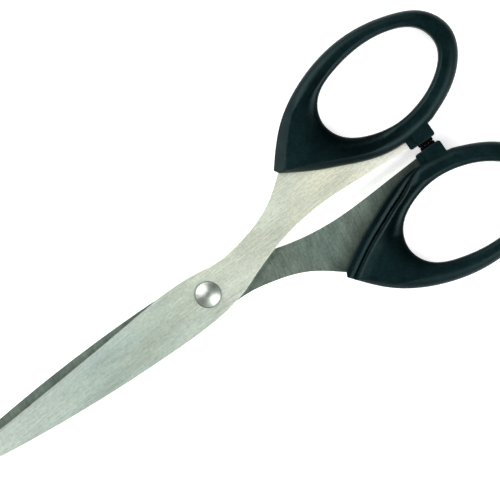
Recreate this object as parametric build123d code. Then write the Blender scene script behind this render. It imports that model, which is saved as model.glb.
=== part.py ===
"""Fabric shears: two stamped steel halves turning on one rivet, each with a moulded plastic handle.

Frame, millimetres: +X from the tips to the finger loops, +Y towards the front half's loop, +Z up
through the rivet's domed head. The origin is on the rivet's axis, on the surface the shears lie on.
The back half is the front half turned over about the line where the two halves meet.
"""

import os

from build123d import *

os.makedirs("parts", exist_ok=True)

# --- Heights ---
HANDLE_THICK = 9.0
MID_Z = HANDLE_THICK / 2
STEEL_THICK = 2.0
BLADE_GAP = 0.04
STEEL_LOW = MID_Z + BLADE_GAP / 2
STEEL_TOP = MID_Z + STEEL_THICK
TIP_THICK = 1.2

# --- Steel outline ---
TIP_X = -105.0
EDGE_START = (-14.6, 7.3)
EDGE_BELLY = (-50.3, 3.92)
EDGE_END = (TIP_X + 0.55, 0.6)
TIP_END = (TIP_X + 0.55, -0.35)
SPINE_BELLY = (-64.5, -6.2)
SPINE_START = (-24.0, -8.25)
BACK_SPINE_INSET = 0.7
INSET_FADE = (1.0, 0.5)
NECK_INNER = [
    (-9.9, -8.2), (-0.4, -7.6), (8.8, -5.65), (15.5, -3.1), (28.2, 1.05), (44.5, 3.15), (60.0, 2.65),
]
TANG_END = (75.4, 1.75)
TANG_RUN = (1.0, -0.07)
TANG_HIDDEN = [
    (75.4, 6.3), (68.5, 7.6), (61.0, 11.3), (55.0, 19.5), (53.0, 26.5), (47.5, 25.5), (42.8, 21.8),
]
TANG_CORNER_R = 1.5
NECK_OUTER = [(37.1, 17.4), (29.1, 11.7), (18.0, 7.8), (6.3, 6.48), (-1.0, 7.42), (-8.0, 7.63)]
SHOULDER = (-13.2, 7.6)
TANG_HOLES = [(45.5, 20.0), (50.5, 16.5), (59.5, 9.3)]
TANG_HOLE_R = 1.9

# --- Grinding ---
TAPER_START_X = -13.8
BEVEL_WIDTH = 0.7
BEVEL_DEPTH = 1.0
SPINE_ROUND = 0.3
HOLLOW_R = 150.0
HOLLOW_DEPTH = 0.12
HOLLOW_START = (-16.0, -0.6)
HOLLOW_END = (-98.0, -0.4)

# --- Handle ---
HEEL = (37.2, 19.4)
HEEL_CUT = (38.1, 17.75)
LOOP_OUTER = [
    (46.7, 29.8), (59.1, 37.0), (77.3, 40.65), (93.0, 37.9), (101.2, 33.3), (105.0, 24.8), (97.6, 11.7),
]
LOOP_END = (85.0, 5.2)
FRONT_EDGE = [(72.5, 3.85), (62.2, 5.9), (54.0, 9.35), (48.8, 11.7)]
FINGER_HOLE = [
    (57.4, 22.9), (60.1, 29.3), (68.6, 33.7), (79.5, 35.45), (89.7, 34.2),
    (96.9, 29.8), (98.5, 23.0), (92.9, 15.6), (84.3, 11.45), (76.0, 10.15), (65.7, 12.3), (59.8, 16.3),
]
OUTER_ROUND = 2.2
INNER_ROUND = 1.6
STEP_LINE = [
    (36.2, 22.6), (41.3, 19.9), (45.9, 17.4), (50.5, 15.0),
    (55.5, 12.75), (61.9, 9.7), (67.9, 6.95), (74.4, 3.2),
]
STEP_OUTSIDE = [(74.4, 0.0), (36.2, 12.0)]
STEP_SKIN = 0.6

# --- Stop block and its rubber buffer ---
STOP_X = (76.6, 83.2)
STOP_FOOT_X = 74.4
STOP_FACE_Y = 0.95
STOP_ROOT_Y = 6.5
STOP_INSET_Z = 0.7
STOP_FOOT_INSET_Z = 1.9
STOP_ROUND = 0.8
BUFFER_X = (76.9, 81.8)
BUFFER_Y = (BLADE_GAP / 2, 2.5)
BUFFER_HEIGHT = 4.4
BUFFER_ROUND = 0.4

# --- Rivet and washer ---
SHANK_R = 2.5
RUNNING_CLEARANCE = 0.03
HEAD_R = 4.0
HEAD_RIM = 0.35
HEAD_DOME = 1.5
HEAD_LIFT = 0.02
WASHER_R = 4.6
WASHER_THICK = 0.8
TAIL_R = 3.5
TAIL_FLAT_R = 2.3
TAIL_RIM = 0.4


def turned_over(shape):
    """The same piece on the back half: half a turn about the line where the halves meet."""
    return shape.rotate(Axis((0, 0, MID_Z), (1, 0, 0)), 180)


def steel_outline(spine_inset):
    """Blade, neck, flare and hidden tang as one flat face."""
    spine_start = (SPINE_START[0], SPINE_START[1] + spine_inset)
    spine_belly = (SPINE_BELLY[0], SPINE_BELLY[1] + spine_inset)
    near_pivot = [(x, y + spine_inset * share) for (x, y), share in zip(NECK_INNER, INSET_FADE)]
    neck = NECK_INNER[len(INSET_FADE):]
    edge = ThreePointArc(EDGE_START, EDGE_BELLY, EDGE_END)
    tip = ThreePointArc(EDGE_END, (TIP_X, (EDGE_END[1] + TIP_END[1]) / 2), TIP_END)
    spine = ThreePointArc(TIP_END, spine_belly, spine_start)
    inner = Spline([spine_start, *near_pivot, *neck, TANG_END], tangents=[spine % 1, TANG_RUN])
    hidden = FilletPolyline([TANG_END, *TANG_HIDDEN, NECK_OUTER[0]], radius=TANG_CORNER_R)
    outer = Spline(NECK_OUTER)
    shoulder = Polyline([NECK_OUTER[-1], SHOULDER, EDGE_START])
    return make_face([edge, tip, spine, inner, hidden, outer, shoulder])


def hollow_grind():
    """The very large round that the inner face is ground to, fading out at the tip."""
    top = Vector(*HOLLOW_START, STEEL_LOW + HOLLOW_DEPTH)
    end = Vector(*HOLLOW_END, STEEL_LOW)
    run = end - top
    start = top - Vector(0, 0, HOLLOW_R)
    bottom_up = (Align.CENTER, Align.CENTER, Align.MIN)
    return Plane(start, z_dir=run) * Cylinder(HOLLOW_R, run.length, align=bottom_up)


def distal_taper():
    """What is ground off the outer face, so that the blade thins towards its tip."""
    reach = TAPER_START_X - TIP_X
    drop = STEEL_THICK - TIP_THICK
    side = [
        (TAPER_START_X, STEEL_TOP),
        (TAPER_START_X, STEEL_TOP + 1),
        (TIP_X - 1, STEEL_TOP + 1),
        (TIP_X - 1, STEEL_TOP - drop * (reach + 1) / reach),
    ]
    profile = Plane.XZ * make_face(Polyline(side, close=True))
    return extrude(profile, amount=20, both=True)


def tang_holes():
    """The plastic flows through these and locks the handle to the tang."""
    return [Pos(x, y, MID_Z) * Cylinder(TANG_HOLE_R, HANDLE_THICK) for x, y in TANG_HOLES]


def outer_edges(body, y_side):
    """The outer face's edges along the blade, on its cutting side (+1) or its spine side (-1)."""
    faces = body.faces().filter_by(lambda f: f.normal_at().Z > 0.9)
    middles = [(edge, edge.position_at(0.5)) for edge in faces.edges()]
    along = [edge for edge, at in middles if at.X < EDGE_START[0] and at.Y * y_side > 1.0]
    return ShapeList(along)


def blade(spine_inset, bore_r):
    """One stamped and ground half, lying as the front half does."""
    body = Pos(0, 0, STEEL_LOW) * extrude(steel_outline(spine_inset), STEEL_TOP - STEEL_LOW)
    body -= distal_taper()
    cutting = outer_edges(body, 1)
    ground = body.faces().sort_by_distance(cutting[0].position_at(0.5))
    outer = [face for face in ground if face.normal_at().Z > 0.9][0]
    body = chamfer(cutting, BEVEL_WIDTH, BEVEL_DEPTH, reference=outer)
    body = fillet(outer_edges(body, -1), SPINE_ROUND)
    body -= hollow_grind()
    body -= Pos(0, 0, MID_Z) * Cylinder(bore_r, HANDLE_THICK)
    return body - tang_holes()


def upright(x_range, y_range, z_range, round_r):
    """A block with its upright edges rounded."""
    size = [high - low for low, high in (x_range, y_range, z_range)]
    centre = [(high + low) / 2 for low, high in (x_range, y_range, z_range)]
    block = Pos(*centre) * Box(*size)
    return fillet(block.edges().filter_by(Axis.Z), round_r)


def stop_block():
    """The block that meets its twin when the shears close: a full block on a lower foot."""
    sides = (STOP_FACE_Y, STOP_ROOT_Y)
    block = upright(STOP_X, sides, (STOP_INSET_Z, HANDLE_THICK - STOP_INSET_Z), STOP_ROUND)
    foot_x = (STOP_FOOT_X, STOP_X[1] - STOP_ROUND)
    foot = upright(foot_x, sides, (STOP_FOOT_INSET_Z, HANDLE_THICK - STOP_FOOT_INSET_Z), STOP_ROUND)
    return block + foot


def front_step():
    """What is left off the inner side, so that only a thin skin covers the steel along the front edge."""
    line = Spline(STEP_LINE)
    outside = Polyline([STEP_LINE[-1], *STEP_OUTSIDE, STEP_LINE[0]])
    return extrude(make_face([line, outside]), STEEL_LOW - STEP_SKIN)


def rim_edges(body, height):
    """The edges of the flat side that lies at a height."""
    side = body.faces().filter_by(Axis.Z).filter_by_position(Axis.Z, height - 0.01, height + 0.01)
    return side.edges()


def loop_body():
    """The finger loop and the wide heel round the tang, with all long edges rounded."""
    outer = Spline([HEEL, *LOOP_OUTER, LOOP_END])
    front = Spline([LOOP_END, *FRONT_EDGE, HEEL_CUT])
    heel = Line(HEEL_CUT, HEEL)
    body = extrude(make_face([outer, front, heel]), HANDLE_THICK)
    hole = extrude(make_face(Spline(FINGER_HOLE, periodic=True)), HANDLE_THICK)
    body -= hole
    body -= front_step()
    body = fillet(rim_edges(body, HANDLE_THICK), OUTER_ROUND)
    return fillet(rim_edges(body, 0), INNER_ROUND)


def stop_buffer():
    """The rubber pad let into the stop block's face."""
    low = MID_Z - BUFFER_HEIGHT / 2
    return upright(BUFFER_X, BUFFER_Y, (low, low + BUFFER_HEIGHT), BUFFER_ROUND)


def handle(steel):
    """One moulding, with the pocket that the tang fills and the pocket for the buffer."""
    return loop_body() + stop_block() - steel - stop_buffer()


def pivot_rivet():
    """Domed head above, shank through both halves, peened tail below: one turned profile."""
    head_low = STEEL_TOP + HEAD_LIFT
    rim_top = head_low + HEAD_RIM
    tail_top = MID_Z - STEEL_THICK - WASHER_THICK
    apex = (0, rim_top + HEAD_DOME)
    dome = TangentArc(apex, (HEAD_R, rim_top), tangent=(1, 0))
    side = Polyline([
        (0, 0),
        (TAIL_FLAT_R, 0),
        (TAIL_R, tail_top - TAIL_RIM),
        (TAIL_R, tail_top),
        (SHANK_R, tail_top),
        (SHANK_R, head_low),
        (HEAD_R, head_low),
        (HEAD_R, rim_top),
    ])
    axis = Line(apex, (0, 0))
    return revolve(Plane.XZ * make_face([side, dome, axis]), Axis.Z)


def rivet_washer():
    """The washer that the tail is peened against."""
    low = MID_Z - STEEL_THICK - WASHER_THICK
    ring = Circle(WASHER_R) - Circle(SHANK_R)
    return Pos(0, 0, low) * extrude(ring, WASHER_THICK)


front_blade = blade(0, SHANK_R + RUNNING_CLEARANCE)
back_blade = turned_over(blade(BACK_SPINE_INSET, SHANK_R))
front_handle = handle(front_blade)
parts = {
    "front_blade": front_blade,
    "back_blade": back_blade,
    "front_handle": front_handle,
    "back_handle": turned_over(front_handle),
    "front_stop_buffer": stop_buffer(),
    "back_stop_buffer": turned_over(stop_buffer()),
    "pivot_rivet": pivot_rivet(),
    "rivet_washer": rivet_washer(),
}
for node, piece in parts.items():
    export_step(piece, f"parts/{node}.step")
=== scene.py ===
"""Fabric shears: the finished look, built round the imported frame. Everything is in metres."""

import math

import bmesh
import bpy
import numpy as np
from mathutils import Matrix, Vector


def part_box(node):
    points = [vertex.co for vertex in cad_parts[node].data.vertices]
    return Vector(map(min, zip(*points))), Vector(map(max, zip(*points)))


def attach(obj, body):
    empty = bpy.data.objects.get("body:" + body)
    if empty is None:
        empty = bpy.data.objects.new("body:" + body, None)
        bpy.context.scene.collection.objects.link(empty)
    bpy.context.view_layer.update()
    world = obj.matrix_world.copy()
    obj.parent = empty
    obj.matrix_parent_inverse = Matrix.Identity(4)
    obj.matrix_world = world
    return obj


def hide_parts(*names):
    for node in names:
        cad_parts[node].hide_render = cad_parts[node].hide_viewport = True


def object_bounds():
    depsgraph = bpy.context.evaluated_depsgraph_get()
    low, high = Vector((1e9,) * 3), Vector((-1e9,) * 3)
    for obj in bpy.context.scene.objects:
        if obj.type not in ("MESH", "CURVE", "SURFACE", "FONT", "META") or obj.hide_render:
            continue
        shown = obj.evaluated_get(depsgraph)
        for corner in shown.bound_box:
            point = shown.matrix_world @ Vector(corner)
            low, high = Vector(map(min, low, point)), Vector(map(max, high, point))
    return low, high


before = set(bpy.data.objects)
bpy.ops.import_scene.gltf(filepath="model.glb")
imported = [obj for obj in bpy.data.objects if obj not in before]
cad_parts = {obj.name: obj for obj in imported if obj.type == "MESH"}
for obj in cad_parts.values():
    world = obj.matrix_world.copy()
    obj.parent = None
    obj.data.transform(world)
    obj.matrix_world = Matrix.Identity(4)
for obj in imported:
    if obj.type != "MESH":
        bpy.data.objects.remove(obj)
CAD_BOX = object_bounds()
MM = 0.001

# --- Heights, from the frame ---
HANDLE_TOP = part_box("front_handle")[1].z
MID_Z = HANDLE_TOP / 2
STEEL_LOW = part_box("front_blade")[0].z
STEEL_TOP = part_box("front_blade")[1].z
TIP_X = CAD_BOX[0][0]
SKIN = HANDLE_TOP - STEEL_TOP
EDGE_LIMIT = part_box("front_handle")[1]

# --- Blade outline, as in the design, millimetres ---
EDGE_LINE = [(-104.45, 0.6), (-77.0, 1.85), (-50.3, 3.92), (-32.0, 5.55), (-14.6, 7.3)]
SPINE_LINE = [(-104.45, -0.35), (-84.0, -3.9), (-64.5, -6.2), (-44.0, -7.65), (-24.0, -8.25)]
TIP_MIDDLE = 0.125
TIP_ROUND = 0.55
BACK_SPINE_INSET = 0.7
INSET_FADE = (1.0, 0.5)
SHOULDER_X = -14.6
NECK_INNER = [
    (-9.9, -8.2), (-0.4, -7.6), (8.8, -5.65), (15.5, -3.1),
    (28.2, 1.05), (44.5, 3.15), (60.0, 2.65), (75.4, 1.75),
]
NECK_OUTER = [(-13.2, 7.6), (-8.0, 7.63), (-1.0, 7.42), (6.3, 6.48), (18.0, 7.8), (29.1, 11.7), (37.1, 17.4)]
TANG = [(42.8, 21.8), (47.5, 25.5), (53.0, 26.5), (55.0, 19.5), (61.0, 11.3), (68.5, 7.6), (75.4, 6.3)]

# --- Handle outline, as in the design, millimetres ---
HEEL = (37.2, 19.4)
HEEL_CUT = (38.1, 17.75)
LOOP_OUTER = [
    (46.7, 29.8), (59.1, 37.0), (77.3, 40.65), (93.0, 37.9),
    (101.2, 33.3), (105.0, 24.8), (97.6, 11.7), (85.0, 5.2),
]
FRONT_EDGE = [LOOP_OUTER[-1], (72.5, 3.85), (62.2, 5.9), (54.0, 9.35), (48.8, 11.7), HEEL_CUT]
FINGER_HOLE = [
    (57.4, 22.9), (60.1, 29.3), (68.6, 33.7), (79.5, 35.45), (89.7, 34.2),
    (96.9, 29.8), (98.5, 23.0), (92.9, 15.6), (84.3, 11.45), (76.0, 10.15), (65.7, 12.3), (59.8, 16.3),
]
LOOP_CENTRE = (78.0, 22.8)


# ---------------------------------------------------------------- curves

def cubic(knots, values, closed):
    """The second derivatives of a cubic spline through values at knots."""
    gaps = np.diff(knots)
    count = len(knots)
    system = np.zeros((count, count))
    right = np.zeros((count, values.shape[1]))
    for i in range(1, count - 1):
        system[i, i - 1 : i + 2] = gaps[i - 1], 2 * (gaps[i - 1] + gaps[i]), gaps[i]
        right[i] = 6 * ((values[i + 1] - values[i]) / gaps[i] - (values[i] - values[i - 1]) / gaps[i - 1])
    if closed:
        system[0, [0, 1, -2]] = 2 * (gaps[-1] + gaps[0]), gaps[0], gaps[-1]
        right[0] = 6 * ((values[1] - values[0]) / gaps[0] - (values[-1] - values[-2]) / gaps[-1])
        system[-1, [0, -1]] = 1, -1
    else:
        system[0, 0] = system[-1, -1] = 1
    return np.linalg.solve(system, right)


def smooth_line(points, closed=False, per_span=24):
    """A dense smooth line through a few points."""
    points = np.array(points + points[:1] if closed else points, float)
    knots = np.concatenate([[0], np.cumsum(np.hypot(*np.diff(points, axis=0).T))])
    bend = cubic(knots, points, closed)
    line = []
    for i, gap in enumerate(np.diff(knots)):
        for t in np.linspace(0, 1, per_span, endpoint=False):
            a, b = 1 - t, t
            curve = ((a**3 - a) * bend[i] + (b**3 - b) * bend[i + 1]) * gap**2 / 6
            line.append(a * points[i] + b * points[i + 1] + curve)
    if not closed:
        line.append(points[-1])
    return np.array(line)


def ease(t):
    """A smooth step from 0 to 1."""
    t = np.clip(t, 0, 1)
    return t * t * (3 - 2 * t)


def growth(x, start, length):
    """A smooth step from 0 at start up to 1, over a length."""
    return ease((x - start) / length)


def fade(x, start, length):
    """A smooth step from 1 at start down to 0, over a length."""
    return 1 - growth(x, start, length)


# ---------------------------------------------------------------- meshes

MERGE = 1e-7
SHARP = math.radians(32)


def mesh_object(name, verts, faces):
    """A new mesh object in place, its vertices given in millimetres."""
    mesh = bpy.data.meshes.new(name)
    mesh.from_pydata([tuple(v * MM for v in p) for p in verts], [], faces)
    mesh.validate()
    made = bpy.data.objects.new(name, mesh)
    bpy.context.scene.collection.objects.link(made)
    return made


def loops_object(name, loops, closed):
    """A skin over a row of section loops, each an equally long list of points, closed or capped."""
    rows, count = len(loops), len(loops[0])
    verts = [tuple(p) for loop in loops for p in loop]
    faces = []
    for r in range(rows if closed else rows - 1):
        here, there = r * count, (r + 1) % rows * count
        for c in range(count):
            d = (c + 1) % count
            faces.append((here + c, here + d, there + d, there + c))
    if not closed:
        faces.append(tuple(range(count)))
        faces.append(tuple(reversed(range((rows - 1) * count, rows * count))))
    made = mesh_object(name, verts, faces)
    tidy_normals(made)
    return made


def tidy_normals(made):
    """Doubles merged and all faces turned outwards."""
    work = bmesh.new()
    work.from_mesh(made.data)
    bmesh.ops.remove_doubles(work, verts=work.verts, dist=MERGE)
    bmesh.ops.dissolve_degenerate(work, edges=work.edges, dist=MERGE)
    bmesh.ops.recalc_face_normals(work, faces=work.faces)
    work.to_mesh(made.data)
    work.free()


def smooth(made):
    """Smooth shading with sharp edges kept where faces meet at more than the sharp angle."""
    mesh = made.data
    mesh.polygons.foreach_set("use_smooth", [True] * len(mesh.polygons))
    work = bmesh.new()
    work.from_mesh(mesh)
    for edge in work.edges:
        edge.smooth = len(edge.link_faces) == 2 and edge.calc_face_angle(0) < SHARP
    work.to_mesh(mesh)
    work.free()


def evaluated(made):
    """A plain mesh of what an object's modifiers make."""
    bpy.context.view_layer.update()
    graph = bpy.context.evaluated_depsgraph_get()
    return bpy.data.meshes.new_from_object(made.evaluated_get(graph))


def turned_over(source, name):
    """The same piece on the back half: half a turn about the line where the halves meet."""
    made = bpy.data.objects.new(name, source.data.copy())
    bpy.context.scene.collection.objects.link(made)
    co = np.zeros(len(made.data.vertices) * 3)
    made.data.vertices.foreach_get("co", co)
    co = co.reshape(-1, 3) * (1, -1, -1) + (0, 0, 2 * MID_Z)
    made.data.vertices.foreach_set("co", co.ravel())
    made.data.update()
    return made


# ---------------------------------------------------------------- blades

BLADE_STATIONS = 420
BLADE_TIP_THICK = 1.2
TAPER_START = -13.8
EDGE_BEVEL = (0.7, 1.0)
BEVEL_ONSET = 0.8
FULL_WIDTH = 14.0
BEVEL_SHARE = 0.35
CORNER = 0.06
CORNER_SHARE = 0.2
CROWN = 0.03
HOLLOW = 0.12
HEM = 0.12
HEM_SHARE = 0.04


def blade_widths(inset):
    """Stations along X with the blade's low and high side at each."""
    spine = [(x, y + inset) for x, y in SPINE_LINE]
    near_pivot = [(x, y + inset * share) for (x, y), share in zip(NECK_INNER, INSET_FADE)]
    low = smooth_line(spine + near_pivot + NECK_INNER[len(INSET_FADE):])
    tang = smooth_line([NECK_OUTER[-1]] + TANG, per_span=8)
    high = np.concatenate([smooth_line(EDGE_LINE), smooth_line(NECK_OUTER), tang])
    start, end = EDGE_LINE[0][0], NECK_INNER[-1][0]
    tip = start - TIP_ROUND * np.sin(np.linspace(math.pi / 2, 0, 9))[:-1]
    along = np.concatenate([tip, np.linspace(start, end, BLADE_STATIONS)])
    y_low = np.interp(along, low[:, 0], low[:, 1])
    order = np.argsort(high[:, 0], kind="stable")
    y_high = np.interp(along, high[order, 0], high[order, 1])
    round_off = np.sqrt(np.clip(1 - ((start - along) / TIP_ROUND) ** 2, 1e-4, 1))
    in_tip = along < start
    for side in (y_low, y_high):
        side[in_tip] = TIP_MIDDLE + (side[in_tip] - TIP_MIDDLE) * round_off[in_tip]
    return along, y_low, y_high


def blade_section(x, y_low, y_high):
    """One closed section across the steel: inner face, spine side, outer face, cutting side."""
    tip_x = TIP_X / MM
    low_z, full_top = STEEL_LOW / MM, STEEL_TOP / MM
    run = min(max((TAPER_START - x) / (TAPER_START - tip_x), 0), 1)
    top = full_top - (full_top - MID_Z / MM - BLADE_TIP_THICK) * run
    width = y_high - y_low
    corner = min(CORNER, width * CORNER_SHARE)
    in_blade = ease((SHOULDER_X - x) / BEVEL_ONSET)
    bevel_w = corner + (min(EDGE_BEVEL[0], width * BEVEL_SHARE) - corner) * in_blade
    bevel_d = corner + (EDGE_BEVEL[1] * min(1, (top - low_z) / 2) - corner) * in_blade
    fullness = min(width / FULL_WIDTH, 1)
    hollow = HOLLOW * in_blade * fullness * (1 - run) ** 0.5
    crown = CROWN * fullness ** 2
    across = np.linspace(0, 1, 11)
    inner = [(x, y_low + width * t, low_z + hollow * math.sin(math.pi * t) ** 0.8) for t in across]
    outer = []
    inside = width - bevel_w - corner
    hem = min(HEM / inside, HEM_SHARE)
    for t in (1, 1 - hem, *np.linspace(0.9, 0.1, 9), hem, 0):
        lift = crown * (4 * t * (1 - t) - 1)
        outer.append((x, y_low + corner + inside * t, top + min(lift, 0)))
    cut_top = (x, y_high, top - crown - bevel_d)
    cut_mid = (x, y_high - bevel_w * 0.5, top - crown - bevel_d * (0.5 - 0.2 * (1 - in_blade)))
    spine_top = (x, y_low, top - crown - corner)
    spine_mid = (x, y_low + corner * 0.3, top - crown - corner * 0.3)
    return inner + [cut_top, cut_mid] + outer + [spine_mid, spine_top]


def blade_steel(name, inset):
    """One steel half, lying as the front half does."""
    along, y_low, y_high = blade_widths(inset)
    loops = [blade_section(*station) for station in zip(along, y_low, y_high)]
    return loops_object(name, loops, closed=False)


# ---------------------------------------------------------------- handles

LOOP_STATIONS = 420
HEEL_CROWDING = 0.55
RIM_STEPS = 12
FIELD_STEPS = 8
TRIES = 240
LEAST_FACING = 0.5
SIDE_STEPS = {1: 44, -1: 96}
WALL_SHARES = np.linspace(0, 1, 5)[1:-1]


def ray_hits(line, centre, angles):
    """How far a closed line is from the centre, in each direction."""
    rel = line - np.array(centre)
    bearing = np.arctan2(rel[:, 1], rel[:, 0]) % (2 * math.pi)
    order = np.argsort(bearing)
    bearing, reach = bearing[order], np.hypot(*rel[order].T)
    bearing = np.concatenate([bearing[-1:] - 2 * math.pi, bearing, bearing[:1] + 2 * math.pi])
    reach = np.concatenate([reach[-1:], reach, reach[:1]])
    return np.interp(angles, bearing, reach)


def loop_angles():
    """Directions from the loop's centre, closer together towards the heel, with one at its corner."""
    heel = math.atan2(HEEL[1] - LOOP_CENTRE[1], HEEL[0] - LOOP_CENTRE[0]) % (2 * math.pi)
    t = np.linspace(0, 2 * math.pi, LOOP_STATIONS, endpoint=False)
    return (heel + t - HEEL_CROWDING * np.sin(t)) % (2 * math.pi)


class Rim:
    """How an edge falls away in section: over what width, how deep, and how round (1 flat, 2 round)."""

    def __init__(self, width, depth, roundness):
        self.width, self.depth, self.roundness = width, depth, roundness

    def drop(self, t):
        """The fall at t, from 0 on the edge itself to 1 where the rim ends."""
        n = self.roundness
        return self.depth * (1 - np.clip(1 - (1 - t) ** n, 0, 1) ** (1 / n))


def blended(a, b, t):
    """A rim part-way between two others."""
    width = a.width + (b.width - a.width) * t
    depth = a.depth + (b.depth - a.depth) * t
    return Rim(width, depth, a.roundness + (b.roundness - a.roundness) * t)


# Where along X each edge treatment starts to run out, and over what length.
BEVEL_FADE = (36.0, 27.0)
FRONT_FADE = (62.0, 12.0)
LIP_NARROWING = (60.0, 17.0)
LIP_FADE = (68.0, 9.0)
LIP_NARROWED = 0.85
FRONT_WIDENING = (38, 9)
HEEL_END_X = 45
UPPER_Y = 25
BEVEL_ROUNDNESS = 1.03
BEVEL_GAIN = 1.6
RING_DEPTH = 2.7
INNER_BEVEL = (1.5, 1.6, 1.2)
INNER_FRONT = (1.5, 3.6, 2.0)

# The steel's lip in section: the distance from the front edge and the drop there.
LIP = smooth_line([
    (0.0, 4.05), (0.1, 3.93), (0.3, 3.88), (2.1, 3.68), (2.4, 3.5), (2.65, 3.43),
    (2.9, 3.49), (3.2, 3.66), (3.45, 3.62), (3.6, 3.0), (3.72, 1.9), (3.86, 1.15),
    (4.15, 0.85), (5.0, 0.58), (6.5, 0.27), (8.5, 0.07), (10.5, 0.0),
], per_span=3)

# Both edges run on past the heel's corner, so that their cuts meet there.
EDGE_SPAN = 8
HEEL_POINTS = 21
FRONT_LINE = smooth_line(FRONT_EDGE, per_span=EDGE_SPAN)
FRONT_LINE = np.vstack([FRONT_LINE, FRONT_LINE[-1] * 2 - FRONT_LINE[-1 - EDGE_SPAN]])
HEEL_LINE = smooth_line([HEEL] + LOOP_OUTER, per_span=EDGE_SPAN)[:HEEL_POINTS]
HEEL_LINE = np.vstack([HEEL_LINE[0] * 4 - HEEL_LINE[1] * 3, HEEL_LINE])


def outline_part(x, y):
    """How much of the heel's bevel and of the steel's front edge a point of the outline belongs to."""
    if x < HEEL_END_X:
        upper = ease((y - HEEL_CUT[1]) / (HEEL[1] - HEEL_CUT[1]))
    else:
        upper = float(y > UPPER_Y)
    front = (1 - upper) * fade(x, *FRONT_FADE) if y < UPPER_Y else 0.0
    return upper * fade(x, *BEVEL_FADE), front


def bevel_rim(bevel):
    """The heel's bevel, from a slim one at 0 to the full one at 1."""
    return Rim(1.0 + 2.4 * bevel, 1.2 + 2.6 * bevel, BEVEL_ROUNDNESS)


def outer_rim(x, y, width, side):
    """The outer edge's rim on the outer (+1) or inner (-1) side of the handle."""
    ring = Rim(width * 0.5, RING_DEPTH, 2.0)
    bevel, front = outline_part(x, y)
    if side > 0:
        front_rim = Rim(1.0 + 1.2 * growth(x, *FRONT_WIDENING), SKIN / MM - 0.15, 1.45)
        return blended(blended(ring, bevel_rim(bevel), ease(bevel * BEVEL_GAIN)), front_rim, front)
    rim = blended(ring, Rim(*INNER_BEVEL), min(1, bevel * BEVEL_GAIN))
    return blended(rim, Rim(*INNER_FRONT), front)


def line_distance(points, line):
    """How far points are from a line."""
    starts, runs = line[:-1], np.diff(line, axis=0)
    rel = points[:, None, :] - starts[None]
    along = np.clip((rel * runs).sum(2) / (runs ** 2).sum(1), 0, 1)
    return np.hypot(*np.moveaxis(rel - along[..., None] * runs, 2, 0)).min(1)


def edge_cut(x, side):
    """What is cut away at each distance from an edge: the heel's bevel outside, the steel's lip inside.

    It gives the edge's line, distances from it and the drop there, at x along the outline."""
    if side < 0:
        shrink = 1 - LIP_NARROWED * growth(x, *LIP_NARROWING)
        return FRONT_LINE, LIP[:, 0] * shrink, LIP[:, 1] * fade(x, *LIP_FADE)
    bevel = fade(x, *BEVEL_FADE)
    rim = bevel_rim(bevel)
    t = np.linspace(0, 1, 7)
    return HEEL_LINE, t * rim.width, rim.drop(t) * ease(bevel * BEVEL_GAIN)


ROLL_BEARING = math.radians(-160)
ROLL_SPREAD = math.radians(62)


def hole_rim(x, y, width):
    """The finger hole's rolled edge: wide and full where it faces the pivot, tight round the ring."""
    bearing = math.atan2(y - LOOP_CENTRE[1], x - LOOP_CENTRE[0])
    off = abs((bearing - ROLL_BEARING + math.pi) % (2 * math.pi) - math.pi)
    full = fade(off, 0, ROLL_SPREAD)
    return Rim(min(width * 0.5, 1.7 + 6.3 * full), 1.6 + full, 2.0)


def side_profile(inner, outer, facing, side):
    """Points from the finger hole to the outer edge over one side, as (x, y, height from the middle).

    facing is the cosine between the line from hole to edge and the edge's own normal."""
    width = math.hypot(*(outer - inner))
    toward = (outer - inner) / width
    in_rim = hole_rim(*inner, width)
    out_rim = outer_rim(*outer, width, side)
    out_width = min(out_rim.width / facing, width - in_rim.width)
    rim_t = 1 - np.cos(np.linspace(0, math.pi / 2, RIM_STEPS))
    fall_t = rim_t if out_rim.roundness > 1.5 else np.linspace(0, 1, RIM_STEPS)
    field = np.linspace(in_rim.width, width - out_width, FIELD_STEPS + 2)[1:-1]

    line, away, cut = edge_cut(outer[0], side)
    tries = np.linspace(0, width, TRIES)
    gaps = line_distance(inner + toward * tries[:, None], line)
    knots = away[(away > gaps.min()) & (away < gaps.max())]
    crossings = np.interp(knots, gaps[::-1], tries[::-1])
    wanted = np.concatenate([rim_t * in_rim.width, field, width - fall_t * out_width, crossings])
    steps = np.linspace(0, len(wanted) - 1, SIDE_STEPS[side])
    reaches = np.interp(steps, np.arange(len(wanted)), np.sort(wanted))

    cuts = np.interp(line_distance(inner + toward * reaches[:, None], line), away, cut, right=0)
    falls = out_rim.drop(np.clip((width - reaches) / out_width, 0, 1))
    drops = in_rim.drop(np.clip(reaches / in_rim.width, 0, 1)) + np.maximum(falls, cuts)
    heights = side * (MID_Z / MM - drops)
    return [(*(inner + toward * reach), height) for reach, height in zip(reaches, heights)]


def wall(start, end):
    """Points on a straight wall between two others."""
    start, end = np.array(start), np.array(end)
    return [tuple(start + (end - start) * t) for t in WALL_SHARES]


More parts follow.
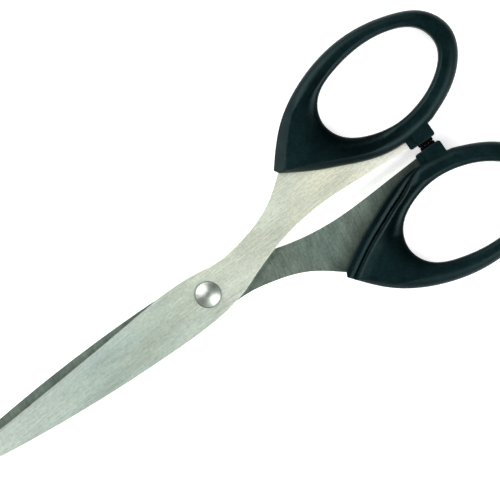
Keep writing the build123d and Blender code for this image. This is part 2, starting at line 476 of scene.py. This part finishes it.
def handle_plastic(name):
    """One moulded handle, lying as the front half's does, as sections all round the finger hole."""
    outer_line = np.concatenate([smooth_line([HEEL] + LOOP_OUTER), smooth_line(FRONT_EDGE)])
    hole_line = smooth_line(FINGER_HOLE, closed=True)
    angles = loop_angles()
    rays = np.stack([np.cos(angles), np.sin(angles)], 1)
    outers = rays * ray_hits(outer_line, LOOP_CENTRE, angles)[:, None] + LOOP_CENTRE
    outers = np.minimum(outers, [EDGE_LIMIT.x / MM, EDGE_LIMIT.y / MM])
    inners = rays * ray_hits(hole_line, LOOP_CENTRE, angles)[:, None] + LOOP_CENTRE
    runs = np.roll(outers, -1, 0) - np.roll(outers, 1, 0)
    runs /= np.hypot(*runs.T)[:, None]
    facings = np.clip(np.abs(rays[:, 0] * runs[:, 1] - rays[:, 1] * runs[:, 0]), LEAST_FACING, 1)
    loops = []
    for inner, outer, facing in zip(inners, outers, facings):
        top = side_profile(inner, outer, facing, 1)
        low = side_profile(inner, outer, facing, -1)
        loop = top + wall(top[-1], low[-1]) + low[::-1] + wall(low[0], top[0])
        loops.append([(x, y, z + MID_Z / MM) for x, y, z in loop])
    return loops_object(name, loops, closed=True)


# ---------------------------------------------------------------- camera and light

VIEW_ROLL = math.radians(-34.58)
VIEW_CENTRE = (17.9 * MM, 3.85 * MM)
VIEW_WIDTH = 149.6 * MM
LENS = 600.0
SENSOR = 36.0
CLIP_RANGE = (0.1, 20)
FLOOR_REACH = 3000
FLOOR_WHITE = 0.9
FLOOR_GLOW = 0.68
SOFTBOX_AZIMUTH = 145
SOFTBOX_ELEVATION = 43
SOFTBOX_POWER = 12.0
SOFTBOX_DISTANCE = 1.1
SOFTBOX_SIZE = (0.9, 0.7)
HORIZON = 1.1
HORIZON_SIDES = 0.28
ZENITH = 0.05
HORIZON_RISE = (0.10, 0.55)


def make_camera():
    """Straight above the shears, with a long lens."""
    data = bpy.data.cameras.new("camera")
    data.lens = LENS
    data.sensor_width = SENSOR
    camera = bpy.data.objects.new("camera", data)
    bpy.context.scene.collection.objects.link(camera)
    camera.location = (*VIEW_CENTRE, VIEW_WIDTH * LENS / SENSOR + MID_Z)
    camera.rotation_euler = (0, 0, VIEW_ROLL)
    data.clip_start, data.clip_end = CLIP_RANGE
    bpy.context.scene.camera = camera


def softbox(name, azimuth):
    """A large flat light that faces the shears. Azimuth is counted from the camera's right."""
    data = bpy.data.lights.new(name, "AREA")
    data.shape = "RECTANGLE"
    data.size, data.size_y = SOFTBOX_SIZE
    data.energy = SOFTBOX_POWER
    light = bpy.data.objects.new(name, data)
    bpy.context.scene.collection.objects.link(light)
    a, e = math.radians(azimuth) + VIEW_ROLL, math.radians(SOFTBOX_ELEVATION)
    toward = Vector((math.cos(a) * math.cos(e), math.sin(a) * math.cos(e), math.sin(e)))
    light.location = toward * SOFTBOX_DISTANCE
    light.rotation_euler = toward.to_track_quat("Z", "Y").to_euler()
    light.visible_camera = False


def make_stage():
    """A plain white floor and soft studio light: two softboxes, bright surroundings, a dim ceiling."""
    corners = [(x * FLOOR_REACH, y * FLOOR_REACH, 0) for x, y in ((-1, -1), (1, -1), (1, 1), (-1, 1))]
    floor = mesh_object("floor", corners, [(0, 1, 2, 3)])
    white = bpy.data.materials.new("floor_white")
    white.use_nodes = True
    shader = white.node_tree.nodes["Principled BSDF"]
    shader.inputs["Base Color"].default_value = (FLOOR_WHITE, FLOOR_WHITE, FLOOR_WHITE, 1)
    shader.inputs["Roughness"].default_value = 0.9
    shader.inputs["Specular IOR Level"].default_value = 0.0
    shader.inputs["Emission Color"].default_value = (1, 1, 1, 1)
    shader.inputs["Emission Strength"].default_value = FLOOR_GLOW
    floor.data.materials.append(white)
    softbox("softbox_upper_left", SOFTBOX_AZIMUTH)
    softbox("softbox_lower_right", SOFTBOX_AZIMUTH - 180)
    world = bpy.data.worlds.new("studio")
    world.use_nodes = True
    sky = Paint(world.name, world.node_tree)
    way = sky.node("ShaderNodeTexCoord", output="Generated")
    azimuth = math.radians(SOFTBOX_AZIMUTH) + VIEW_ROLL
    axis = (math.cos(azimuth), math.sin(azimuth), 0)
    along = sky.measure("DOT_PRODUCT", way, axis)
    height = sky.node("ShaderNodeSeparateXYZ", inputs={"Vector": way}, output="Z")
    low = 1.0 - sky.span(height, *HORIZON_RISE)
    grey = ZENITH + low * HORIZON * (HORIZON_SIDES + along * along * (1 - HORIZON_SIDES))
    sky.tree.links.new(grey.socket, sky.tree.nodes["Background"].inputs["Color"])
    bpy.context.scene.world = world
    bpy.context.scene.view_settings.view_transform = "Standard"


# ---------------------------------------------------------------- finishes

class Wire:
    """A socket in a shader tree. Arithmetic on it adds Math nodes, or Vector Math nodes for colours."""

    def __init__(self, paint, socket):
        self.paint = paint
        self.socket = socket

    def math(self, operation, first, second):
        wires = [value for value in (first, second) if isinstance(value, Wire)]
        if all(wire.socket.type == "VALUE" for wire in wires):
            return self.paint.node("ShaderNodeMath", {"operation": operation}, {0: first, 1: second})
        return self.paint.node("ShaderNodeVectorMath", {"operation": operation}, {0: first, 1: second})

    def __add__(self, other):
        return self.math("ADD", self, other)

    def __sub__(self, other):
        return self.math("SUBTRACT", self, other)

    def __rsub__(self, other):
        return self.math("SUBTRACT", other, self)

    def __mul__(self, other):
        return self.math("MULTIPLY", self, other)

    def __truediv__(self, other):
        return self.math("DIVIDE", self, other)

    __radd__ = __add__
    __rmul__ = __mul__


class Paint:
    """A shader tree, of a new material or one handed in, and a short way to add nodes to it."""

    def __init__(self, name, tree=None, **constants):
        if tree is None:
            self.material = bpy.data.materials.new(name)
            self.material.use_nodes = True
            tree = self.material.node_tree
        self.tree = tree
        self.shader = tree.nodes.get("Principled BSDF")
        for socket, value in constants.items():
            self.shader.inputs[socket.replace("_", " ")].default_value = value

    def node(self, kind, settings=None, inputs=None, output=0):
        """Adds a node: its settings first, then the values or wires of its sockets."""
        made = self.tree.nodes.new(kind)
        for key, value in (settings or {}).items():
            if key == "stops":
                self.set_stops(made.color_ramp, value)
            else:
                setattr(made, key, value)
        for key, value in (inputs or {}).items():
            if isinstance(value, Wire):
                self.tree.links.new(value.socket, made.inputs[key])
            else:
                made.inputs[key].default_value = value
        return Wire(self, made.outputs[output])

    def set_stops(self, ramp, stops):
        """A colour ramp's stops, each a place and a colour."""
        while len(ramp.elements) < len(stops):
            ramp.elements.new(1.0)
        for element, (place, colour) in zip(ramp.elements, stops):
            element.position = place
            element.color = (*colour, 1)

    def place(self, turn=(0, 0, 0), scale=(1, 1, 1), shift=(0, 0, 0)):
        """The piece's own coordinates, in metres, shifted, turned and scaled."""
        own = self.node("ShaderNodeTexCoord", output="Object")
        moves = {"Vector": own, "Location": shift, "Rotation": turn}
        turned = self.node("ShaderNodeMapping", {"vector_type": "TEXTURE"}, moves)
        return self.node("ShaderNodeMapping", {"vector_type": "POINT"}, {"Vector": turned, "Scale": scale})

    def noise(self, where, detail=2.0, roughness=0.5):
        """Noise from 0 to 1 at the given coordinates."""
        inputs = {"Vector": where, "Scale": 1.0, "Detail": detail, "Roughness": roughness}
        return self.node("ShaderNodeTexNoise", inputs=inputs)

    def measure(self, operation, *vectors):
        """A single number got from vectors."""
        settings = {"operation": operation}
        return self.node("ShaderNodeVectorMath", settings, dict(enumerate(vectors)), "Value")

    def span(self, value, low, high):
        """0 below low, 1 above high, and a smooth step between."""
        settings = {"interpolation_type": "SMOOTHSTEP"}
        limits = {"Value": value, "From Min": low, "From Max": high}
        return self.node("ShaderNodeMapRange", settings, limits)

    def mix(self, share, first, second):
        """A colour part-way between two."""
        first = first if isinstance(first, Wire) else (*first, 1)
        second = second if isinstance(second, Wire) else (*second, 1)
        return self.node("ShaderNodeMix", {"data_type": "RGBA"}, {0: share, 6: first, 7: second}, 2)

    def feed(self, **wires):
        """Links wires to the shader's sockets."""
        for socket, wire in wires.items():
            self.tree.links.new(wire.socket, self.shader.inputs[socket.replace("_", " ")])

    def bump(self, height, distance, strength=1.0):
        """The normal of a surface with that relief, its full height given in metres."""
        relief = {"Strength": strength, "Distance": distance, "Height": height}
        return self.node("ShaderNodeBump", inputs=relief)


# Painted reflection along the blade: base tones by X in metres, darker mid-blade and lighter towards the tip
# and the handle, where the steel reflects more light.
OUTER_REFLECTION_TONES = [
    (-0.100, (0.76, 0.83, 0.75)),
    (-0.060, (0.614, 0.715, 0.65)),
    (-0.038, (0.54, 0.66, 0.59)),
    (-0.014, (0.655, 0.75, 0.64)),
    (0.008, (0.785, 0.85, 0.73)),
    (0.038, (0.785, 0.825, 0.68)),
    (0.052, (0.835, 0.845, 0.68)),
    (0.070, (0.98, 0.99, 0.90)),
]


def outer_steel():
    """The outer faces: stainless steel brushed nearly along the blade, uneven in tone, with painted
    reflection making the base colour darker mid-blade and lighter towards the tip and the handle.
    """
    paint = Paint("brushed_outer_steel", Metallic=1.0)
    turn = (0, 0, math.radians(3))
    fine = paint.noise(paint.place(turn, (620, 4200, 4200)), detail=3.0)
    streak = paint.noise(paint.place(turn, (150, 2300, 2300), (0.011, 0, 0)), detail=3.0)
    speck = paint.noise(paint.place(scale=(1400, 1400, 1400), shift=(0, 0.023, 0)), detail=2.0)
    cloud = paint.noise(paint.place(turn, (60, 190, 190), (0, 0.017, 0)), detail=2.0)
    broad = paint.noise(paint.place(turn, (22, 75, 75), (0.031, 0, 0)), detail=2.0)
    warm = paint.noise(paint.place(turn, (50, 120, 120), (0.053, 0.01, 0)), detail=2.0)
    along = paint.node("ShaderNodeSeparateXYZ", inputs={"Vector": paint.place()}, output="X")
    low, high = OUTER_REFLECTION_TONES[0][0], OUTER_REFLECTION_TONES[-1][0]
    stops = [((x - low) / (high - low), tone) for x, tone in OUTER_REFLECTION_TONES]
    # Painted reflection: the base colour runs through these tones along the blade.
    tone = paint.node("ShaderNodeValToRGB", {"stops": stops}, {"Fac": (along - low) / (high - low)})
    shade = fine * 0.52 + streak * 0.48 + speck * 0.40 + cloud * 0.30 + broad * 0.30 + 0.04
    hue = paint.mix(paint.span(warm, 0.3, 0.7), (0.982, 1.0, 1.015), (1.012, 1.0, 0.97))
    normal = paint.bump(fine * 0.6 + streak * 0.4, 0.000012, 0.6)
    rough = 0.42 + paint.span(along, 0.030, 0.068) * 0.045 + fine * 0.06 + cloud * 0.06
    paint.feed(Base_Color=tone * hue * shade, Roughness=rough, Normal=normal)
    return paint.material


# Painted shade on the inner steel along the handle's edge: the edge's normal, the band across it in metres,
# and how much darker.
MOULD_LINE = (0.441, 0.897)
HANDLE_SHADE_BAND = (0.0250, 0.0338)
HANDLE_SHADE_DEPTH = 0.70


def inner_steel(side):
    """The inner faces: ground across the blade, with painted shade darkening them along the moulded handle's
    edge, for the dark handle wall reflected in the steel.

    side is 1 for the front half and -1 for the back half, whose handle lies the other way."""
    paint = Paint("ground_inner_steel_" + ("front" if side > 0 else "back"), Metallic=1.0)
    turn = (0, 0, math.radians(78))
    fine = paint.noise(paint.place(turn, (900, 3600, 3600)), detail=3.0)
    streak = paint.noise(paint.place(turn, (300, 1700, 1700), (0.013, 0, 0)), detail=2.0)
    speck = paint.noise(paint.place(scale=(1500, 1500, 1500), shift=(0, 0.023, 0)), detail=2.0)
    cloud = paint.noise(paint.place(turn, (90, 200, 200), (0.021, 0, 0)), detail=2.0)
    broad = paint.noise(paint.place(turn, (40, 60, 60), (0.041, 0, 0)), detail=2.0)
    shade = fine * 0.60 + streak * 0.70 + speck * 0.55 + cloud * 0.55 + broad * 0.40 - 0.40
    mould_line = (MOULD_LINE[0], side * MOULD_LINE[1], 0)
    across = paint.measure("DOT_PRODUCT", paint.place(), mould_line)
    # Painted shade: darker within a band along the handle's edge, for the handle wall that the steel
    # reflects.
    shade = shade * (1.0 - paint.span(across, *HANDLE_SHADE_BAND) * HANDLE_SHADE_DEPTH)
    tone = paint.mix(paint.span(broad, 0.3, 0.7), (0.385, 0.52, 0.45), (0.42, 0.52, 0.425))
    normal = paint.bump(fine * 0.5 + streak * 0.5, 0.000010, 0.6)
    paint.feed(Base_Color=tone * shade, Roughness=0.31 + fine * 0.05 + cloud * 0.05, Normal=normal)
    return paint.material


def edge_steel():
    """The ground cutting bevel and the cut sides of the stamping."""
    paint = Paint("ground_edge_steel", Metallic=1.0)
    lines = paint.noise(paint.place((0, 0, math.radians(85)), (500, 6000, 900)), detail=2.0)
    colour = paint.mix(paint.span(lines, 0.35, 0.65), (0.25, 0.28, 0.26), (0.38, 0.41, 0.38))
    paint.feed(Base_Color=colour, Roughness=0.38 + lines * 0.12, Normal=paint.bump(lines, 0.00001, 0.5))
    return paint.material


# Centre and reach of the polished zone, which also carries painted shade round the finger hole's dished end.
POLISH_AND_SHADE_AT = (0.066, 0.020)
POLISH_AND_SHADE_RANGE = (0.0095, 0.0185)
PLASTIC_TINT = (0.62, 0.98, 1.0, 1)


def handle_plastic_finish(side):
    """Black moulded plastic with a fine spark-eroded skin, polished smoother where a finger bears, and with
    painted shade darkening its colour there round the finger hole's dished pivot end.

    side is 1 for the front half and -1 for the back half, whose loop lies the other way."""
    name = "moulded_black_plastic_" + ("front" if side > 0 else "back")
    paint = Paint(name, Specular_IOR_Level=0.15, Specular_Tint=PLASTIC_TINT)
    grain = paint.noise(paint.place(scale=(3800, 3800, 3800)), detail=2.0, roughness=0.6)
    coarse = paint.noise(paint.place(scale=(1300, 1300, 1300), shift=(0.01, 0, 0)), detail=2.0)
    rubbed = paint.noise(paint.place(scale=(75, 75, 75), shift=(0, 0.02, 0)), detail=3.0)
    blotch = paint.noise(paint.place(scale=(240, 240, 240), shift=(0.04, 0.02, 0)), detail=3.0)
    shade = grain * 1.5 + coarse * 1.6 + blotch * 1.4 + rubbed * 1.2 - 1.85
    tone = paint.mix(paint.span(blotch, 0.3, 0.7), (0.0008, 0.0075, 0.0090), (0.0018, 0.0078, 0.0086))
    normal = paint.bump(grain * 0.7 + coarse * 0.3, 0.00007, 0.8)
    centre = (POLISH_AND_SHADE_AT[0], side * POLISH_AND_SHADE_AT[1], MID_Z)
    reach = paint.measure("DISTANCE", paint.place(), centre)
    outside_polish_and_shade = paint.span(reach, *POLISH_AND_SHADE_RANGE)
    rough = (0.31 + rubbed * 0.12 + coarse * 0.06) * (0.62 + outside_polish_and_shade * 0.38)
    # Painted shade: the colour falls to a quarter round the finger hole's dished end; the roughness drops
    # there as polish.
    paint.feed(Base_Color=tone * shade * (0.25 + outside_polish_and_shade * 0.75), Roughness=rough, Normal=normal)
    return paint.material


def rubber_finish():
    """Dull black rubber."""
    paint = Paint("buffer_rubber", Specular_IOR_Level=0.06)
    grain = paint.noise(paint.place(scale=(2600, 2600, 2600)), detail=3.0)
    colour = paint.mix(grain, (0.0015, 0.0015, 0.0015), (0.006, 0.006, 0.007))
    paint.feed(Base_Color=colour, Roughness=0.72 + grain * 0.16, Normal=paint.bump(grain, 0.00008, 0.5))
    return paint.material


# Radii in metres of the painted reflection darkening the dome's middle, and of the painted shade round the
# head's edge.
RIVET_DARK_MIDDLE = (0.0003, 0.0012)
RIVET_RIM_SHADE = (0.00365, 0.00395)


def rivet_finish():
    """Polished steel with the faint rings of turning and a few hairlines, with painted reflection darkening
    the dome's middle and painted shade round the edge of the head.
    """
    paint = Paint("polished_rivet_steel", Metallic=1.0)
    across = paint.place() * (1, 1, 0)
    radius = paint.measure("LENGTH", across)
    ring_at = paint.node("ShaderNodeCombineXYZ", inputs={"X": radius * 5200.0})
    rings = paint.noise(ring_at, detail=2.0)
    hair = paint.noise(paint.place((0, 0, 0.7), (350, 6000, 6000)), detail=2.0)
    worn = paint.noise(paint.place(scale=(420, 420, 420), shift=(0.02, 0, 0)), detail=3.0)
    way = paint.node("ShaderNodeVectorMath", {"operation": "NORMALIZE"}, {0: across})
    rays = paint.noise(way * (2.6, 2.6, 2.6) + (0.3, 0.8, 0.0), detail=3.0, roughness=0.6)
    shade = rings * 0.25 + hair * 0.2 + worn * 0.25 + rays * 0.9 - 0.3
    colour = paint.mix(shade, (0.34, 0.39, 0.35), (0.72, 0.77, 0.71))
    # Painted reflection: the middle of the dome darker, where it mirrors the dim ceiling.
    centre = 0.66 + paint.span(radius, *RIVET_DARK_MIDDLE) * 0.34
    # Painted shade: a dark ring round the edge of the head, where it meets the steel.
    foot = 1.0 - paint.span(radius, *RIVET_RIM_SHADE) * 0.7
    normal = paint.bump(rings * 0.6 + hair * 0.2 + worn * 0.2, 0.000080, 1.0)
    paint.feed(Base_Color=colour * centre * foot, Roughness=0.335 + hair * 0.10 + worn * 0.12, Normal=normal)
    return paint.material


# ---------------------------------------------------------------- rivet and washer by turning

AXIS_RADIUS = 1e-5
TURNED_SEGMENTS = 96


def turned_tree():
    """A node tree that turns a profile round the rivet's axis. Inputs: Segments and Finish."""
    tree = bpy.data.node_groups.new("turned_piece", "GeometryNodeTree")
    face = tree.interface
    face.new_socket("Geometry", in_out="INPUT", socket_type="NodeSocketGeometry")
    face.new_socket("Segments", in_out="INPUT", socket_type="NodeSocketInt")
    face.new_socket("Finish", in_out="INPUT", socket_type="NodeSocketMaterial")
    face.new_socket("Geometry", in_out="OUTPUT", socket_type="NodeSocketGeometry")
    kinds = {
        "given": "NodeGroupInput",
        "profile": "GeometryNodeMeshToCurve",
        "ring": "GeometryNodeCurvePrimitiveCircle",
        "sweep": "GeometryNodeCurveToMesh",
        "merge": "GeometryNodeMergeByDistance",
        "real": "GeometryNodeRealizeInstances",
        "finish": "GeometryNodeSetMaterial",
        "out": "NodeGroupOutput",
    }
    node = {name: tree.nodes.new(kind) for name, kind in kinds.items()}
    node["ring"].inputs["Radius"].default_value = AXIS_RADIUS
    node["merge"].inputs["Distance"].default_value = MERGE
    for source, output, target, socket in (
        ("given", "Geometry", "profile", "Mesh"),
        ("given", "Segments", "ring", "Resolution"),
        ("ring", "Curve", "sweep", "Curve"),
        ("profile", "Curve", "sweep", "Profile Curve"),
        ("sweep", "Mesh", "merge", "Geometry"),
        ("merge", "Geometry", "real", "Geometry"),
        ("real", "Geometry", "finish", "Geometry"),
        ("given", "Finish", "finish", "Material"),
        ("finish", "Geometry", "out", "Geometry"),
    ):
        tree.links.new(node[source].outputs[output], node[target].inputs[socket])
    return tree


def turned_piece(name, profile, tree, finish):
    """A piece turned from a profile of (radius, height) points, in millimetres, open only at the axis."""
    count = len(profile)
    verts = [(r * MM - AXIS_RADIUS, -z * MM, 0) for r, z in profile]
    edges = [(i, i + 1) for i in range(count - 1)]
    if profile[0][0] > 0:
        edges.append((count - 1, 0))
    work = bpy.data.meshes.new(name + "_profile")
    work.from_pydata(verts, edges, [])
    holder = bpy.data.objects.new(name + "_profile", work)
    bpy.context.scene.collection.objects.link(holder)
    modifier = holder.modifiers.new("turn", "NODES")
    modifier.node_group = tree
    for socket in tree.interface.items_tree:
        if socket.in_out == "INPUT" and socket.name == "Segments":
            modifier[socket.identifier] = TURNED_SEGMENTS
        if socket.in_out == "INPUT" and socket.name == "Finish":
            modifier[socket.identifier] = finish
    mesh = evaluated(holder)
    bpy.data.objects.remove(holder)
    made = bpy.data.objects.new(name, mesh)
    bpy.context.scene.collection.objects.link(made)
    tidy_normals(made)
    return made


def arc(centre, radii, start, end, steps):
    """Points along part of an ellipse, angles in degrees."""
    turn = np.radians(np.linspace(start, end, steps))
    return [(centre[0] + radii[0] * math.cos(a), centre[1] + radii[1] * math.sin(a)) for a in turn]


SHANK_R = 2.5
TAIL_R = 3.5
TAIL_BAND = 0.45
TAIL_CROWN = 0.55
HEAD_CLEARANCE = 0.02
HEAD_RIM = (0.14, 0.2)
DOME_INSET = 0.12
DOME_BASE = 0.35
TAIL_DIMPLE = [(0.0, 0.22), (0.7, 0.16), (1.3, 0.03), (1.6, 0.0), (2.2, 0.0), (2.55, 0.05)]
WASHER_BORE_R = 2.52
WASHER_CORNER = 0.18


def rivet_profile():
    """Domed head, shank and peened tail, from the bottom up."""
    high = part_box("pivot_rivet")[1]
    head_r, top = high.x / MM, high.z / MM
    tail_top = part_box("rivet_washer")[0].z / MM
    head_low = STEEL_TOP / MM + HEAD_CLEARANCE
    rise = top - head_low - DOME_BASE
    ball = (head_r**2 + rise**2) / (2 * rise)
    half = math.degrees(math.asin((head_r - DOME_INSET) / ball))
    dome = arc((0, top - ball), (ball, ball), 90 - half, 90, 18)
    rim = arc((head_r - HEAD_RIM[0], head_low + HEAD_RIM[1]), HEAD_RIM, -90, 60, 7)
    tail = arc((SHANK_R, tail_top - TAIL_BAND), (TAIL_R - SHANK_R, tail_top - TAIL_CROWN), -75, 0, 9)
    shank = [(TAIL_R, tail_top), (SHANK_R, tail_top), (SHANK_R, head_low)]
    return TAIL_DIMPLE + tail + shank + rim + dome


def washer_profile():
    """A flat washer with rounded outer corners."""
    low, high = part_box("rivet_washer")
    bottom, top, outer = low.z / MM, high.z / MM, high.x / MM
    bend, radii = outer - WASHER_CORNER, (WASHER_CORNER, WASHER_CORNER)
    lower = arc((bend, bottom + WASHER_CORNER), radii, -90, 0, 5)
    upper = arc((bend, top - WASHER_CORNER), radii, 0, 90, 5)
    return [(WASHER_BORE_R, bottom)] + lower + upper + [(WASHER_BORE_R, top)]


# ---------------------------------------------------------------- stop blocks

STOP_BLOCK = ((76.6, 0.95, 0.7), (83.2, 7.0, 8.3))
STOP_FOOT = ((74.4, 0.95, 1.9), (82.4, 7.0, 7.1))
BLOCK_ROUNDING = (0.8, 0.35)
PAD_ROUNDING = (0.45, 0.12)
PAD_GAP = 0.005
BORE_R = 2.53
BORE_SEGMENTS = 96
BORE_REACH = (-1, 10)


def rounded_block(name, low, high, corner, edge):
    """A block with its upright edges rounded by corner and its other edges by edge, in millimetres."""
    bend = np.linspace(0, math.pi / 2, 5)
    levels = [(low[2] + edge * (1 - math.sin(t)), edge * (1 - math.cos(t))) for t in bend[::-1]]
    levels += [(high[2] - edge * (1 - math.sin(t)), edge * (1 - math.cos(t))) for t in bend]
    loops = []
    for z, inset in levels:
        loop = []
        east, north = high[0] - corner, high[1] - corner
        west, south = low[0] + corner, low[1] + corner
        for quarter, centre in enumerate(((east, north), (west, north), (west, south), (east, south))):
            turn = quarter * 90
            loop += [(*p, z) for p in arc(centre, (corner - inset,) * 2, turn, turn + 90, 6)]
        loops.append(loop)
    return loops_object(name, loops, closed=False)


def bore_tool():
    """A plain upright rod on the rivet's axis, for boring."""
    turns = np.linspace(0, 2 * math.pi, BORE_SEGMENTS, endpoint=False)
    ring = [(BORE_R * math.cos(t), BORE_R * math.sin(t)) for t in turns]
    return loops_object("bore_tool", [[(*p, z) for p in ring] for z in BORE_REACH], closed=False)


def join(target, tool, operation):
    """Adds tool to target, or cuts it away, exactly. tool is used up."""
    modifier = target.modifiers.new(operation.lower(), "BOOLEAN")
    modifier.operation = operation
    modifier.solver = "EXACT"
    modifier.object = tool
    mesh = evaluated(target)
    target.modifiers.clear()
    target.data = mesh
    bpy.data.objects.remove(tool)


# ---------------------------------------------------------------- assembly

FLAT = 0.93


def by_finish(steel, finishes):
    """Outer, inner and edge finishes on one steel half, by which way its faces look."""
    for finish in finishes:
        steel.data.materials.append(finish)
    for face in steel.data.polygons:
        up = face.normal.z
        face.material_index = 0 if up > FLAT else 1 if up < -FLAT else 2


def settle(piece, node, body):
    """Shading, body and frame node of one finished piece."""
    smooth(piece)
    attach(piece, body)
    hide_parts(node)


make_camera()
make_stage()

outer_finish = outer_steel()
edge_finish = edge_steel()
rubber = rubber_finish()
polished = rivet_finish()

front_blade = blade_steel("front_blade_steel", 0)
back_flat = blade_steel("back_blade_flat", BACK_SPINE_INSET)
for steel, side in ((front_blade, 1), (back_flat, -1)):
    join(steel, bore_tool(), "DIFFERENCE")
    by_finish(steel, (outer_finish, inner_steel(side), edge_finish))
back_blade = turned_over(back_flat, "back_blade_steel")
bpy.data.objects.remove(back_flat)
settle(front_blade, "front_blade", "front_half")
settle(back_blade, "back_blade", "back_half")

front_handle = handle_plastic("front_handle_shell")
join(front_handle, rounded_block("stop_tool", *STOP_BLOCK, *BLOCK_ROUNDING), "UNION")
join(front_handle, rounded_block("foot_tool", *STOP_FOOT, *BLOCK_ROUNDING), "UNION")
back_handle = turned_over(front_handle, "back_handle_shell")
for handle, side in ((front_handle, 1), (back_handle, -1)):
    handle.data.materials.clear()
    handle.data.materials.append(handle_plastic_finish(side))
settle(front_handle, "front_handle", "front_half")
settle(back_handle, "back_handle", "back_half")

turning = turned_tree()
rivet = turned_piece("domed_rivet", rivet_profile(), turning, polished)
washer = turned_piece("tail_washer", washer_profile(), turning, polished)
settle(rivet, "pivot_rivet", "back_half")
settle(washer, "rivet_washer", "back_half")

for half in ("front", "back"):
    low, high = (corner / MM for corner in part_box(half + "_stop_buffer"))
    if half == "front":
        low.y = PAD_GAP
    else:
        high.y = -PAD_GAP
    pad = rounded_block(half + "_rubber_pad", low, high, *PAD_ROUNDING)
    pad.data.materials.append(rubber)
    settle(pad, half + "_stop_buffer", half + "_half")
